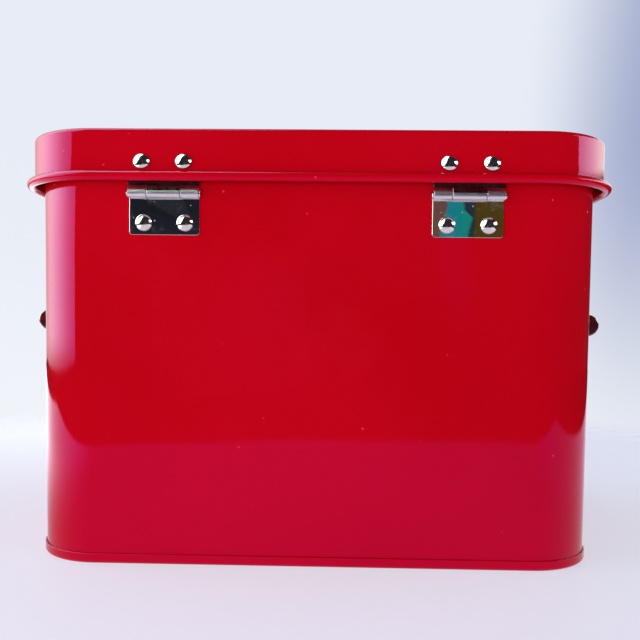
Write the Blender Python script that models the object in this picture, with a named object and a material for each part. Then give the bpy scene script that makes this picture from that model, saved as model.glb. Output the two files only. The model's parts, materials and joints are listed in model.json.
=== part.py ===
"""Fishing tackle box: an enamelled steel box with a hinged lid, a cantilever tray that rises with
the lid, a swinging handle on each side and a snap clip at the front. Metres, +Z up, hinges at +Y,
origin at the middle of the base."""

import math

import bmesh
import bpy
from mathutils import Vector
from mathutils.geometry import tessellate_polygon

# Body and lid
WIDTH = 0.270
DEPTH = 0.190
CORNER = 0.032
SHEET = 0.0008
GAP = 0.0001  # between sheets that lie on each other
SEAM_HEIGHT = 0.0048
SEAM_FOLD = 0.0012
WALL_FOOT = 0.0020
RIM_TOP = 0.2004
RIM_CURL = 0.0011  # radii of the sheet's middle in a curl
LID_TOP = 0.2015
LID_OFFSET = 0.0042  # from the body wall's outside to the middle of the lid's skirt
LID_EDGE = 0.0016
BEAD_Z = 0.1796
BEAD_CURL = 0.00185
PANEL_INSET = 0.012

# Hinges, at the back
HINGE_X = 0.0693
HINGE_WIDTH = 0.0323
HINGE_SHEET = 0.0009
HINGE_OFFSET = 0.0025  # of the axis from the back wall
HINGE_Z = 0.1726
KNUCKLE_CURL = 0.00195
KNUCKLE_MIDDLE = 0.0151  # width of the lid leaf's knuckle
KNUCKLE_GAP = 0.0003
BODY_LEAF_FOOT = 0.1538
LID_LEAF_OFFSET = 0.00325
LID_LEAF_TOP = 0.1913
LID_LEAF_BEND = math.radians(20)
HINGE_PIN = 0.0013
RIVET_SPACING = 0.0190
LID_RIVET_Z = 0.1863
BODY_RIVET_Z = 0.1594
RIVET_HEAD = 0.0039
RIVET_DOME = 0.0023
RIVET_SHANK = 0.0016
RIVET_TAIL = (0.0026, 0.0006)  # radius and thickness of the closed end
SMALL_RIVET = (0.0034, 0.0018)  # head and dome on the handle plates
CLIP_RIVET = (0.0030, 0.0017)
HOLE_PLAY = 0.00015
HINGE_PIN_CAP = (0.0019, 0.0007)

# Handles, on the side walls
GRIP_OFFSET = 0.0086  # of the pivot and of the hanging grip from the side wall
GRIP_Z = 0.1150
GRIP_HALF = 0.043
GRIP_RADIUS = 0.00565
GRIP_NECK = 0.00435
GRIP_EASE = 0.0009
HANDLE_Z = 0.1480
LINK_Y = 0.028
LINK_WIDTH = 0.008
LINK_BAR = 0.0009  # half thickness
LINK_BAND = (0.0046, 0.0055)
LINK_EYE = (0.00145, 0.0029)
PLATE_HALF = 0.041
PLATE_HEIGHT = 0.014
PLATE_CORNER = 0.003
LUG_SHEET = 0.0010
LUG_END = 0.0030
LUG_PLAY = 0.0006
HANDLE_PIN = (0.00125, 0.0021)  # radius and head
PIN_HEAD = 0.0008
HANDLE_RIVET_Y = 0.012

# Clip, at the front
CLIP_OFFSET = 0.0090  # of the pivot from the front wall
CLIP_Z = 0.1540
CLIP_HALF = 0.0087
CLIP_EYE = 0.0016
CLIP_SHEET = 0.0009
CLIP_LIP = 0.02875  # radius of the lip about the pivot
CLIP_BEND = 0.0012
CLIP_HOOK = 0.0028
CLIP_TAB = (0.0045, 0.0325)
CLIP_FOLD = 0.0008
CLIP_PIN = (0.0010, 0.0019)  # radius and head
CLIP_PLATE = (0.018, 0.008)
CLIP_RIVET_X = 0.014

# Tray and its arms
TRAY_HALF = 0.1264
TRAY_FRONT = -0.0895
TRAY_BACK_FROM_PIVOT = 0.008
TRAY_TOP_FROM_PIVOT = 0.004
TRAY_HEIGHT = 0.034
TRAY_CORNERS = (0.026, 0.003)  # front and back
TRAY_FOLD = 0.003
LID_TO_TRAY = Vector((0.0, -0.0685, 0.0120))  # from the hinge axis to the tray's pivot on the lid
AXES_APART = Vector((0.0, -0.075, -0.012))  # from the hinge axis to the arms' pivot on the body
ARM_X = (0.1292, 0.1306)
ARM_END = 0.0055
TAB_X = (0.1270, 0.1282)
TAB_FLANGE = 0.016
TAB_HALF = 0.010
TAB_END = 0.006
PIVOT_JOURNAL = 0.0019
PIVOT_HOLE = 0.0021
PIVOT_SHOULDER = 0.0032
PIVOT_CAP = 0.0009
PIVOT_HEAD = (0.0036, 0.0019)  # head and dome outside the wall
DIVIDER_Y = -0.027
DIVIDER_TOP = 0.006  # below the tray's rim
FRONT_DIVIDERS = (-0.063, 0.0, 0.063)
BACK_DIVIDERS = (-0.042, 0.042)
DIVIDER_GAP = 0.0003

# Facets
CORNER_STEPS = 6
FINE_ROUND = 16
ROUND = 12
CURL_STEPS = 8
FOLD_STEPS = 4
LUG_STEPS = 10
DOME_STEPS = 3
DOME_RIM = 0.15  # share of a dome's height that stands upright
SHARP_ANGLE = math.radians(35)
DRILL_DEPTH = 0.004

FRONT, BACK, SIDE = -DEPTH / 2, DEPTH / 2, WIDTH / 2
HINGE = Vector((0.0, BACK + HINGE_OFFSET, HINGE_Z))
TRAY_PIVOT = HINGE + LID_TO_TRAY
ARM_PIVOT = HINGE + AXES_APART
ARM_TIP = TRAY_PIVOT + AXES_APART


def clear_scene():
    for obj in list(bpy.data.objects):
        bpy.data.objects.remove(obj, do_unlink=True)


def make_material(name, colour, roughness, metallic):
    material = bpy.data.materials.new(name)
    material.use_nodes = True
    shader = material.node_tree.nodes["Principled BSDF"]
    shader.inputs["Base Color"].default_value = (*colour, 1.0)
    shader.inputs["Roughness"].default_value = roughness
    shader.inputs["Metallic"].default_value = metallic
    return material


def make_frame(name, location):
    """An empty on a joint's axis, which carries the pieces that turn about it."""
    frame = bpy.data.objects.new(name, None)
    frame.location = location
    frame.empty_display_size = 0.01
    bpy.context.scene.collection.objects.link(frame)
    return frame


def add_piece(name, bm, material, frame):
    """Takes a mesh drawn in world coordinates and hangs it from its frame."""
    bmesh.ops.translate(bm, verts=bm.verts, vec=-frame.location)
    bmesh.ops.recalc_face_normals(bm, faces=bm.faces)
    mesh = bpy.data.meshes.new(name)
    bm.to_mesh(mesh)
    bm.free()
    mesh.shade_smooth()
    mesh.set_sharp_from_angle(angle=SHARP_ANGLE)
    obj = bpy.data.objects.new(name, mesh)
    mesh.materials.append(material)
    obj.parent = frame
    bpy.context.scene.collection.objects.link(obj)
    return obj


def add_boolean(obj, operation, bm, frame):
    """Cuts or joins a helper mesh, drawn in world coordinates, with a piece."""
    helper = add_piece(f"{obj.name}_{operation.lower()}", bm, obj.data.materials[0], frame)
    helper.hide_render = True
    helper.display_type = "WIRE"
    modifier = obj.modifiers.new(operation.title(), "BOOLEAN")
    modifier.operation = operation
    modifier.object = helper


def merge(meshes):
    """One mesh that holds several separate ones."""
    whole = bmesh.new()
    for bm in meshes:
        copies = {vert: whole.verts.new(vert.co) for vert in bm.verts}
        for face in bm.faces:
            whole.faces.new([copies[vert] for vert in face.verts])
        bm.free()
    return whole


def arc(centre, radius, start, end, steps):
    """Points on an arc, with its angles in degrees."""
    angles = [math.radians(start + (end - start) * i / steps) for i in range(steps + 1)]
    return [(centre[0] + radius * math.cos(a), centre[1] + radius * math.sin(a)) for a in angles]


def circle(centre, radius, steps=ROUND):
    return arc(centre, radius, 0, 360, steps)[:-1]


def sheet_sides(path, thickness):
    """The two faces of a sheet bent along a path, as lists of points on its left and right."""
    left, right = [], []
    for i, point in enumerate(path):
        before, after = path[max(i - 1, 0)], path[min(i + 1, len(path) - 1)]
        along = (Vector(after) - Vector(before)).normalized()
        across = Vector((-along.y, along.x)) * thickness / 2
        left.append(tuple(Vector(point) + across))
        right.append(tuple(Vector(point) - across))
    return left, right


def rounded_stations(half_x, y_front, y_back, r_front, r_back):
    """Corner centre, radius and angle of each point around a rounded rectangle."""
    corners = (
        (half_x - r_back, y_back - r_back, r_back, 0),
        (r_back - half_x, y_back - r_back, r_back, 90),
        (r_front - half_x, y_front + r_front, r_front, 180),
        (half_x - r_front, y_front + r_front, r_front, 270),
    )
    return [
        (x, y, radius, math.radians(start + 90 * i / CORNER_STEPS))
        for x, y, radius, start in corners
        for i in range(CORNER_STEPS + 1)
    ]


def sweep(stations, profile, capped):
    """A profile of (outward offset, height) points carried around the stations. A capped one is a
    pan: its first and last rings are filled, and it is open elsewhere."""
    bm = bmesh.new()
    rings = [
        [
            bm.verts.new((x + (r + offset) * math.cos(a), y + (r + offset) * math.sin(a), z))
            for x, y, r, a in stations
        ]
        for offset, z in profile
    ]
    following = rings[1:] if capped else rings[1:] + rings[:1]
    for ring, other in zip(rings, following):
        for i in range(len(ring)):
            j = (i + 1) % len(ring)
            bm.faces.new((ring[i], ring[j], other[j], other[i]))
    if capped:
        bm.faces.new(rings[0])
        bm.faces.new(rings[-1])
    return bm


def pan(stations, path, thickness):
    """A pressed sheet: the path runs from the flat panel to the free edge."""
    left, right = sheet_sides(path, thickness)
    return sweep(stations, left + right[::-1], capped=True)


def prism(outline, holes, axis, low, high):
    """A flat outline with holes, pulled along an axis. Its points are the other two coordinates."""
    loops = [outline] + holes
    place = {
        "X": lambda w, u, v: (w, u, v),
        "Y": lambda w, u, v: (u, w, v),
        "Z": lambda w, u, v: (u, v, w),
    }[axis]
    bm = bmesh.new()
    ends = [[bm.verts.new(place(w, u, v)) for loop in loops for u, v in loop] for w in (low, high)]
    for corners in tessellate_polygon([[Vector((u, v, 0)) for u, v in loop] for loop in loops]):
        for end in ends:
            bm.faces.new([end[i] for i in corners])
    first = 0
    for loop in loops:
        for i in range(len(loop)):
            a, b = first + i, first + (i + 1) % len(loop)
            bm.faces.new((ends[0][a], ends[0][b], ends[1][b], ends[1][a]))
        first += len(loop)
    return bm


def bent_strip(path, thickness, low, high):
    """A sheet bent along a path of (y, z) points, from low to high along X."""
    left, right = sheet_sides(path, thickness)
    corners = ((left, low), (left, high), (right, high), (right, low))
    bm = bmesh.new()
    rows = [[bm.verts.new((x, *side[i])) for side, x in corners] for i in range(len(path))]
    for row, following in zip(rows, rows[1:]):
        for i in range(4):
            j = (i + 1) % 4
            bm.faces.new((row[i], row[j], following[j], following[i]))
    bm.faces.new(rows[0])
    bm.faces.new(rows[-1])
    return bm


def box(low, high):
    outline = [(low[0], low[1]), (high[0], low[1]), (high[0], high[1]), (low[0], high[1])]
    return prism(outline, [], "Z", low[2], high[2])


def turned(profile, base, axis, steps=ROUND):
    """A solid of revolution. The profile lists (radius, height along the axis) points, and starts
    and ends on the axis."""
    axis = Vector(axis)
    across = axis.orthogonal().normalized()
    other = axis.cross(across)
    bm = bmesh.new()
    rings = []
    for radius, height in profile:
        centre = Vector(base) + axis * height
        if radius == 0:
            rings.append([bm.verts.new(centre)])
            continue
        angles = [2 * math.pi * i / steps for i in range(steps)]
        rings.append(
            [bm.verts.new(centre + radius * (across * math.cos(a) + other * math.sin(a))) for a in angles]
        )
    for ring, following in zip(rings, rings[1:]):
        for i in range(steps):
            j = (i + 1) % steps
            corners = [ring[i % len(ring)], ring[j % len(ring)]]
            corners += [following[j % len(following)], following[i % len(following)]]
            bm.faces.new(list(dict.fromkeys(corners)))
    return bm


def dome(radius, height, low):
    """Profile points of a round head, from its rim to its top."""
    points = [(radius, low)]
    for i in range(DOME_STEPS + 1):
        angle = math.radians(90 * i / DOME_STEPS)
        rise = DOME_RIM + (1 - DOME_RIM) * math.sin(angle)
        points.append((radius * math.cos(angle), low + height * rise))
    points[-1] = (0, low + height)
    return points


def rivet(base, axis, grip, head=RIVET_HEAD, height=RIVET_DOME):
    """A domed rivet whose head stands on the surface at base. The sheets under it are grip thick."""
    tail, tail_height = RIVET_TAIL
    under = -grip - GAP
    profile = [(0, under - tail_height), (tail, under - tail_height), (tail, under)]
    profile += [(RIVET_SHANK, under), (RIVET_SHANK, GAP)] + dome(head, height, GAP)
    return turned(profile, base, axis)


def drill(base, axis, radius, depth=DRILL_DEPTH):
    """A cutter for a round hole, centred on a point of the surface."""
    return turned([(0, -depth), (radius, -depth), (radius, depth), (0, depth)], base, axis)


def rounded_box_outline(half, low, high, radius):
    """An upright rectangle, centred on zero, with round corners."""
    corners = ((half, high, 0), (-half, high, 90), (-half, low, 180), (half, low, 270))
    points = []
    for u, v, start in corners:
        centre = (u - math.copysign(radius, u), v - radius if v == high else v + radius)
        points += arc(centre, radius, start, start + 90, 3)
    return points


def side_holes():
    """Cutters for every rivet hole in the body's walls."""
    holes = []
    for sx in (-1, 1):
        for dx in (-1, 1):
            x = sx * HINGE_X + dx * RIVET_SPACING / 2
            holes.append(drill((x, BACK, BODY_RIVET_Z), (0, 1, 0), RIVET_SHANK + HOLE_PLAY))
        for y in (-HANDLE_RIVET_Y, HANDLE_RIVET_Y):
            holes.append(drill((sx * SIDE, y, HANDLE_Z), (sx, 0, 0), RIVET_SHANK + HOLE_PLAY))
        arm = (sx * SIDE, ARM_PIVOT.y, ARM_PIVOT.z)
        holes.append(drill(arm, (sx, 0, 0), PIVOT_JOURNAL + HOLE_PLAY))
        clip = (sx * CLIP_RIVET_X, FRONT, CLIP_Z)
        holes.append(drill(clip, (0, -1, 0), RIVET_SHANK + HOLE_PLAY))
    return merge(holes)


def make_body(enamel, frame):
    around = rounded_stations(SIDE, FRONT, BACK, CORNER, CORNER)
    middle = -SHEET / 2
    curl_centre = (middle + RIM_CURL, RIM_TOP - SHEET / 2 - RIM_CURL)
    wall = [(middle, WALL_FOOT)] + arc(curl_centre, RIM_CURL, 180, -90, CURL_STEPS)
    outer, inner = sheet_sides(wall, SHEET)
    shell = sweep(around, outer + inner[::-1], capped=False)
    body = add_piece("body_shell", shell, enamel, frame)
    add_boolean(body, "DIFFERENCE", side_holes(), frame)

    flange = GAP + SHEET / 2
    fold_centre = (flange - SEAM_FOLD, SHEET / 2 + SEAM_FOLD)
    path = [(-PANEL_INSET, SHEET / 2)] + arc(fold_centre, SEAM_FOLD, 270, 360, FOLD_STEPS)
    path += [(flange, SEAM_HEIGHT)]
    add_piece("body_bottom", pan(around, path, SHEET), enamel, frame)


def make_lid(enamel, frame):
    around = rounded_stations(SIDE, FRONT, BACK, CORNER, CORNER)
    top = LID_TOP - SHEET / 2
    path = [(-PANEL_INSET, top)]
    path += arc((LID_OFFSET - LID_EDGE, top - LID_EDGE), LID_EDGE, 90, 0, FOLD_STEPS)
    path += arc((LID_OFFSET + BEAD_CURL, BEAD_Z), BEAD_CURL, 180, 480, CURL_STEPS)
    lid = add_piece("lid_shell", pan(around, path, SHEET), enamel, frame)
    surface = BACK + LID_OFFSET
    holes = [
        drill((x + dx, surface, LID_RIVET_Z), (0, 1, 0), RIVET_SHANK + HOLE_PLAY, DRILL_DEPTH / 2)
        for x in (-HINGE_X, HINGE_X)
        for dx in (-RIVET_SPACING / 2, RIVET_SPACING / 2)
    ]
    add_boolean(lid, "DIFFERENCE", merge(holes), frame)


def leaf_holes(x, y, z):
    return [
        drill((x + dx, y, z), (0, 1, 0), RIVET_SHANK + HOLE_PLAY)
        for dx in (-RIVET_SPACING / 2, RIVET_SPACING / 2)
    ]


def make_hinge(side, x, steel, body_frame, lid_frame):
    """A riveted hinge: one leaf outside the back wall, the other inside the lid's skirt."""
    axis = (BACK + HINGE_OFFSET, HINGE_Z)
    half = HINGE_WIDTH / 2
    knuckle_radius = KNUCKLE_CURL + HINGE_SHEET / 2

    flat = BACK + GAP + HINGE_SHEET / 2
    path = [(flat, BODY_LEAF_FOOT)] + arc(axis, KNUCKLE_CURL, 180, -110, CURL_STEPS)
    leaf = bent_strip(path, HINGE_SHEET, x - half, x + half)
    body_leaf = add_piece(f"hinge_{side}_body_leaf", leaf, steel, body_frame)
    notch = KNUCKLE_MIDDLE / 2 + KNUCKLE_GAP
    low = (x - notch, BACK - knuckle_radius, HINGE_Z - knuckle_radius - KNUCKLE_GAP)
    high = (x + notch, BACK + 3 * knuckle_radius, HINGE_Z + 2 * knuckle_radius)
    cuts = leaf_holes(x, BACK, BODY_RIVET_Z) + [box(low, high)]
    add_boolean(body_leaf, "DIFFERENCE", merge(cuts), body_frame)

    flat = BACK + LID_LEAF_OFFSET
    bend = math.degrees(LID_LEAF_BEND)
    touch = arc(axis, KNUCKLE_CURL, bend, bend, 1)[0]
    rise = (touch[0] - flat) / math.tan(LID_LEAF_BEND)
    path = [(flat, LID_LEAF_TOP), (flat, touch[1] + rise)]
    path += arc(axis, KNUCKLE_CURL, bend, -270, CURL_STEPS)
    leaf = bent_strip(path, HINGE_SHEET, x - half, x + half)
    lid_leaf = add_piece(f"hinge_{side}_lid_leaf", leaf, steel, lid_frame)
    shoulder = HINGE_Z + knuckle_radius + 2 * KNUCKLE_GAP
    cuts = leaf_holes(x, flat, LID_RIVET_Z)
    for sx in (-1, 1):
        ends = sorted((x + sx * KNUCKLE_MIDDLE / 2, x + sx * HINGE_WIDTH))
        low = (ends[0], BACK - knuckle_radius, HINGE_Z - 2 * knuckle_radius)
        cuts.append(box(low, (ends[1], BACK + 3 * knuckle_radius, shoulder)))
    add_boolean(lid_leaf, "DIFFERENCE", merge(cuts), lid_frame)

    cap, cap_height = HINGE_PIN_CAP
    end = half + GAP
    profile = [(0, -end - cap_height), (HINGE_PIN, -end - cap_height), (cap, -end - cap_height / 2)]
    profile += [(cap, -end), (HINGE_PIN, -end)]
    profile += [(radius, -height) for radius, height in reversed(profile)]
    pin = turned(profile, (x, *axis), (1, 0, 0))
    add_piece(f"hinge_{side}_pin", pin, steel, body_frame)

    for order, dx in enumerate((-RIVET_SPACING / 2, RIVET_SPACING / 2), 1):
        outer = BACK + GAP + HINGE_SHEET
        grip = outer - BACK + SHEET
        piece = rivet((x + dx, outer, BODY_RIVET_Z), (0, 1, 0), grip)
        add_piece(f"hinge_{side}_body_rivet_{order}", piece, steel, body_frame)
        outer = BACK + LID_OFFSET + SHEET / 2
        grip = outer - BACK - LID_LEAF_OFFSET + HINGE_SHEET / 2
        piece = rivet((x + dx, outer, LID_RIVET_Z), (0, 1, 0), grip)
        add_piece(f"hinge_{side}_lid_rivet_{order}", piece, steel, lid_frame)


def double_headed_pin(centre, axis, half, radius, cap):
    """A plain pin with a thin round head at each end."""
    eased = (radius + cap) / 2
    profile = [(0, -half - PIN_HEAD), (eased, -half - PIN_HEAD), (cap, -half - PIN_HEAD / 2)]
    profile += [(cap, -half), (radius, -half)]
    profile += [(r, -h) for r, h in reversed(profile)]
    return turned(profile, centre, axis)


def ring_on_bar(pivot, length, eye, band, bar):
    """Outline of a link that hangs from its pivot: an eye, a bar and a round band."""
    eye_angle = math.degrees(math.asin(bar / eye))
    band_angle = math.degrees(math.asin(bar / band))
    low = (pivot[0], pivot[1] - length)
    points = arc(pivot, eye, -90 + eye_angle, 270 - eye_angle, ROUND)
    points += arc(low, band, 90 + band_angle, 450 - band_angle, FINE_ROUND)
    return points


def make_handle_plate(side, sx, steel, frame):
    """A riveted plate with four lugs, two for each link."""
    pivot = (sx * (SIDE + GRIP_OFFSET), HANDLE_Z)
    surface = sx * (SIDE + GAP + HINGE_SHEET)
    rivets = (-HANDLE_RIVET_Y, HANDLE_RIVET_Y)
    half_height = PLATE_HEIGHT / 2
    outline = rounded_box_outline(PLATE_HALF, HANDLE_Z - half_height, HANDLE_Z + half_height, PLATE_CORNER)
    holes = [circle((y, HANDLE_Z), RIVET_SHANK + HOLE_PLAY) for y in rivets]
    ends = sorted((sx * (SIDE + GAP), surface))
    plate = add_piece(f"handle_{side}_plate", prism(outline, holes, "X", *ends), steel, frame)

    root = surface - sx * HINGE_SHEET / 2
    lug_outline = [(root, HANDLE_Z - LUG_END)]
    lug_outline += arc(pivot, LUG_END, -90, 90 if sx > 0 else -270, LUG_STEPS)
    lug_outline += [(root, HANDLE_Z + LUG_END)]
    reach = LINK_WIDTH / 2 + LUG_PLAY
    lugs = []
    for y in (-LINK_Y, LINK_Y):
        for face in (y - reach - LUG_SHEET, y + reach):
            hole = circle(pivot, HANDLE_PIN[0] + HOLE_PLAY)
            lugs.append(prism(lug_outline, [hole], "Y", face, face + LUG_SHEET))
    add_boolean(plate, "UNION", merge(lugs), frame)

    for order, y in enumerate(rivets, 1):
        piece = rivet((surface, y, HANDLE_Z), (sx, 0, 0), GAP + HINGE_SHEET + SHEET, *SMALL_RIVET)
        add_piece(f"handle_{side}_rivet_{order}", piece, steel, frame)


def make_handle_links(side, sx, steel, body_frame, frame):
    """The two links that carry the grip, and the pins that they swing on."""
    pivot = (sx * (SIDE + GRIP_OFFSET), HANDLE_Z)
    outline = ring_on_bar(pivot, HANDLE_Z - GRIP_Z, LINK_EYE[1], LINK_BAND[1], LINK_BAR)
    holes = [circle(pivot, LINK_EYE[0]), circle((pivot[0], GRIP_Z), LINK_BAND[0], FINE_ROUND)]
    half = LINK_WIDTH / 2 + LUG_PLAY + LUG_SHEET + GAP
    for end, y in (("front", -LINK_Y), ("back", LINK_Y)):
        link = prism(outline, holes, "Y", y - LINK_WIDTH / 2, y + LINK_WIDTH / 2)
        add_piece(f"handle_{side}_{end}_link", link, steel, frame)
        pin = double_headed_pin((pivot[0], y, HANDLE_Z), (0, 1, 0), half, *HANDLE_PIN)
        add_piece(f"handle_{side}_{end}_pin", pin, steel, body_frame)


def make_grip(side, sx, wood, frame):
    """A turned grip with a neck where each link's band goes round it."""
    neck = LINK_WIDTH / 2 + KNUCKLE_GAP
    profile = [(0, 0), (GRIP_RADIUS - GRIP_EASE, 0), (GRIP_RADIUS, GRIP_EASE)]
    for y in (-LINK_Y, LINK_Y):
        near, far = GRIP_HALF + y - neck, GRIP_HALF + y + neck
        profile += [(GRIP_RADIUS, near), (GRIP_NECK, near), (GRIP_NECK, far), (GRIP_RADIUS, far)]
    length = 2 * GRIP_HALF
    profile += [(GRIP_RADIUS, length - GRIP_EASE), (GRIP_RADIUS - GRIP_EASE, length), (0, length)]
    base = (sx * (SIDE + GRIP_OFFSET), -GRIP_HALF, GRIP_Z)
    add_piece(f"handle_{side}_grip", turned(profile, base, (0, 1, 0), FINE_ROUND), wood, frame)


def clip_path():
    """Middle of the clip's sheet when it is snapped over the lid, as (outward, up) from its pivot."""
    hook = math.degrees(math.acos(-CLIP_HOOK / CLIP_LIP))
    bend_centre = (CLIP_EYE - CLIP_BEND, CLIP_LIP - CLIP_BEND)
    path = arc((0, 0), CLIP_EYE, -300, 0, CURL_STEPS)
    path += arc(bend_centre, CLIP_BEND, 0, 90, FOLD_STEPS)
    path += arc((0, 0), CLIP_LIP, 91, hook, FOLD_STEPS - 1)
    fold_centre = (path[-1][0], path[-1][1] + CLIP_FOLD)
    path += arc(fold_centre, CLIP_FOLD, 260, 100, FOLD_STEPS + 1)
    return path + [CLIP_TAB]


def make_clip(steel, body_frame, frame):
    """The clip hangs open at rest: its snapped-on shape, turned by half a turn about its pivot."""
    y, z = FRONT - CLIP_OFFSET, CLIP_Z
    path = [(y + out, z - up) for out, up in clip_path()]
    add_piece("clip", bent_strip(path, CLIP_SHEET, -CLIP_HALF, CLIP_HALF), steel, frame)

    half_width, half_height = CLIP_PLATE
    outline = rounded_box_outline(half_width, z - half_height, z + half_height, PLATE_CORNER)
    holes = [circle((x, z), RIVET_SHANK + HOLE_PLAY) for x in (-CLIP_RIVET_X, CLIP_RIVET_X)]
    surface = FRONT - GAP - HINGE_SHEET
    plate = prism(outline, holes, "Y", surface, FRONT - GAP)
    bracket = add_piece("clip_bracket", plate, steel, body_frame)
    root = surface + HINGE_SHEET / 2
    lug_outline = [(root, z + LUG_END)] + arc((y, z), LUG_END, 90, 270, LUG_STEPS)
    lug_outline += [(root, z - LUG_END)]
    inner = CLIP_HALF + LUG_PLAY
    lugs = []
    for face in (-inner - LUG_SHEET, inner):
        hole = circle((y, z), CLIP_PIN[0] + HOLE_PLAY)
        lugs.append(prism(lug_outline, [hole], "X", face, face + LUG_SHEET))
    add_boolean(bracket, "UNION", merge(lugs), body_frame)

    pin = double_headed_pin((0, y, z), (1, 0, 0), inner + LUG_SHEET + GAP, *CLIP_PIN)
    add_piece("clip_pin", pin, steel, body_frame)
    for side, sx in (("left", -1), ("right", 1)):
        base = (sx * CLIP_RIVET_X, surface, z)
        piece = rivet(base, (0, -1, 0), GAP + HINGE_SHEET + SHEET, *CLIP_RIVET)
        add_piece(f"clip_rivet_{side}", piece, steel, body_frame)


def divider_outline(near, far, low, high, near_cut, far_cut):
    """An upright plate whose lower corners are cut off where the tray's floor curves up."""
    points = [(near + near_cut, low), (far - far_cut, low), (far, low + far_cut)]
    points += [(far, high), (near, high), (near, low + near_cut)]
    return list(dict.fromkeys(points))


def make_tray(tin, steel, frame):
    top = TRAY_PIVOT.z + TRAY_TOP_FROM_PIVOT
    floor = top - TRAY_HEIGHT
    back = TRAY_PIVOT.y + TRAY_BACK_FROM_PIVOT
    around = rounded_stations(TRAY_HALF, TRAY_FRONT, back, *TRAY_CORNERS)
    middle = -SHEET / 2
    fold_centre = (middle - TRAY_FOLD, floor + SHEET / 2 + TRAY_FOLD)
    path = arc(fold_centre, TRAY_FOLD, 270, 360, FOLD_STEPS) + [(middle, top)]
    # The tight back corners leave no room for the fold's own radius, so it shrinks to theirs.
    inmost = 2 * GAP + SHEET / 2 - TRAY_CORNERS[1]
    path = [(max(offset, inmost), z) for offset, z in path]
    tray = add_piece("tray", pan(around, path, SHEET), tin, frame)
    holes = []
    for sx in (-1, 1):
        for point in (TRAY_PIVOT, ARM_TIP):
            place = (sx * TRAY_HALF, point.y, point.z)
            holes.append(drill(place, (sx, 0, 0), PIVOT_JOURNAL + HOLE_PLAY))
    add_boolean(tray, "DIFFERENCE", merge(holes), frame)

    make_dividers(tin, frame, floor, top, back)
    make_tray_pivots(steel, frame)


def make_dividers(tin, frame, floor, top, back):
    """One long divider, and cross dividers on both sides of it."""
    low, high = floor + SHEET + DIVIDER_GAP, top - DIVIDER_TOP
    inside = SHEET + DIVIDER_GAP
    half = SHEET / 2
    end = TRAY_HALF - inside
    outline = divider_outline(-end, end, low, high, TRAY_FOLD, TRAY_FOLD)
    long_one = prism(outline, [], "Y", DIVIDER_Y - half, DIVIDER_Y + half)
    add_piece("tray_divider_long", long_one, tin, frame)
    beside = half + DIVIDER_GAP
    near, far = DIVIDER_Y - beside, DIVIDER_Y + beside
    front_outline = divider_outline(TRAY_FRONT + inside, near, low, high, TRAY_FOLD, 0)
    back_outline = divider_outline(far, back - inside, low, high, 0, TRAY_FOLD)
    rows = (("front", front_outline, FRONT_DIVIDERS), ("back", back_outline, BACK_DIVIDERS))
    for row, outline, places in rows:
        for order, x in enumerate(places, 1):
            piece = prism(outline, [], "X", x - half, x + half)
            add_piece(f"tray_divider_{row}_{order}", piece, tin, frame)


def make_tray_pivots(steel, frame):
    """On each side, the pin in the lid's tab and the stud in the arm's end."""
    inner_face = TRAY_HALF - SHEET - GAP
    spacer = [
        (PIVOT_JOURNAL, TRAY_HALF + GAP),
        (PIVOT_SHOULDER, ARM_X[0] - GAP),
        (PIVOT_JOURNAL, ARM_X[1] + GAP),
    ]
    for side, sx in (("left", -1), ("right", 1)):
        profile = pivot_profile(inner_face, [(PIVOT_JOURNAL, TAB_X[1] + GAP)])
        pin = turned(profile, (0, TRAY_PIVOT.y, TRAY_PIVOT.z), (sx, 0, 0))
        add_piece(f"tray_{side}_lid_pin", pin, steel, frame)
        stud = turned(pivot_profile(inner_face, spacer), (0, ARM_TIP.y, ARM_TIP.z), (sx, 0, 0))
        add_piece(f"tray_{side}_arm_stud", stud, steel, frame)


def pivot_profile(start, steps):
    """A shouldered pivot with a cap at each end. Each step is a radius and where it ends."""
    profile = [(0, start - PIVOT_CAP), (PIVOT_SHOULDER, start - PIVOT_CAP), (PIVOT_SHOULDER, start)]
    reach = start
    for radius, end in steps:
        profile += [(radius, reach), (radius, end)]
        reach = end
    end = reach + PIVOT_CAP
    return profile + [(PIVOT_SHOULDER, reach), (PIVOT_SHOULDER, end), (0, end)]


def make_arm(side, sx, steel, body_frame, frame):
    """A flat arm from a shouldered rivet in the side wall to the stud on the tray."""
    pivot, tip = (ARM_PIVOT.y, ARM_PIVOT.z), (ARM_TIP.y, ARM_TIP.z)
    tilt = math.degrees(math.atan2(tip[1] - pivot[1], tip[0] - pivot[0]))
    outline = arc(pivot, ARM_END, tilt + 90, tilt + 270, CURL_STEPS)
    outline += arc(tip, ARM_END, tilt - 90, tilt + 90, CURL_STEPS)
    holes = [circle(pivot, PIVOT_HOLE), circle(tip, PIVOT_HOLE)]
    ends = sorted(sx * x for x in ARM_X)
    add_piece(f"tray_arm_{side}", prism(outline, holes, "X", *ends), steel, frame)

    wall = SIDE - SHEET - GAP
    cap, shoulder, outside = ARM_X[0] - GAP, ARM_X[1] + GAP, SIDE + GAP
    profile = [(0, cap - PIVOT_CAP), (PIVOT_SHOULDER, cap - PIVOT_CAP), (PIVOT_SHOULDER, cap)]
    profile += [(PIVOT_JOURNAL, cap), (PIVOT_JOURNAL, shoulder), (PIVOT_SHOULDER, shoulder)]
    profile += [(PIVOT_SHOULDER, wall), (PIVOT_JOURNAL, wall), (PIVOT_JOURNAL, outside)]
    profile += dome(*PIVOT_HEAD, outside)
    piece = turned(profile, (0, ARM_PIVOT.y, ARM_PIVOT.z), (sx, 0, 0))
    add_piece(f"tray_arm_{side}_rivet", piece, steel, body_frame)


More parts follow.
